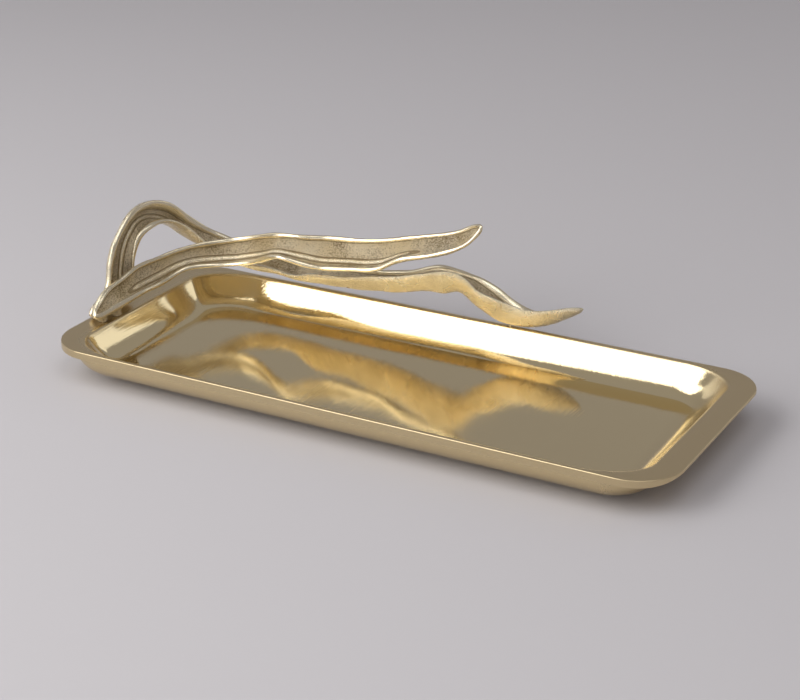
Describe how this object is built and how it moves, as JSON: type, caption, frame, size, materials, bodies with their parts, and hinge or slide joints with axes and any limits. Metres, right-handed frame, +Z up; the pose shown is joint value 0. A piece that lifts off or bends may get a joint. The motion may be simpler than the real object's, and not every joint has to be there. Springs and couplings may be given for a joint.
{
  "type": "serving tray",
  "caption": "Shallow rectangular cast brass tray with rounded corners, wide end flanges and a handle of long bent leaves along its back edge.",
  "frame": {"origin": "centre of the underside of the felt sheet, on the surface that the tray stands on", "axes": "+X along the tray's long side towards the end without the handle's roots, +Y towards the back edge with the leaves, +Z up"},
  "size_m": [0.3827, 0.1619, 0.0801],
  "materials": {
    "polished_brass": "polished inside, satin brushed flanges and outer wall",
    "cast_brass": "sand-cast grain with polished edges",
    "screw_steel": "plain turned steel",
    "felt": "matt wool felt"
  },
  "bodies": {
    "root": {"tray": "polished_brass", "upper_leaf": "cast_brass", "arched_leaf": "cast_brass", "front_root_screw": "screw_steel", "rear_root_screw": "screw_steel", "front_root_rivet": "cast_brass", "rear_root_rivet": "cast_brass", "crossing_pin": "cast_brass", "rim_pin": "cast_brass", "felt_base": "felt"}
  },
  "joints": []
}
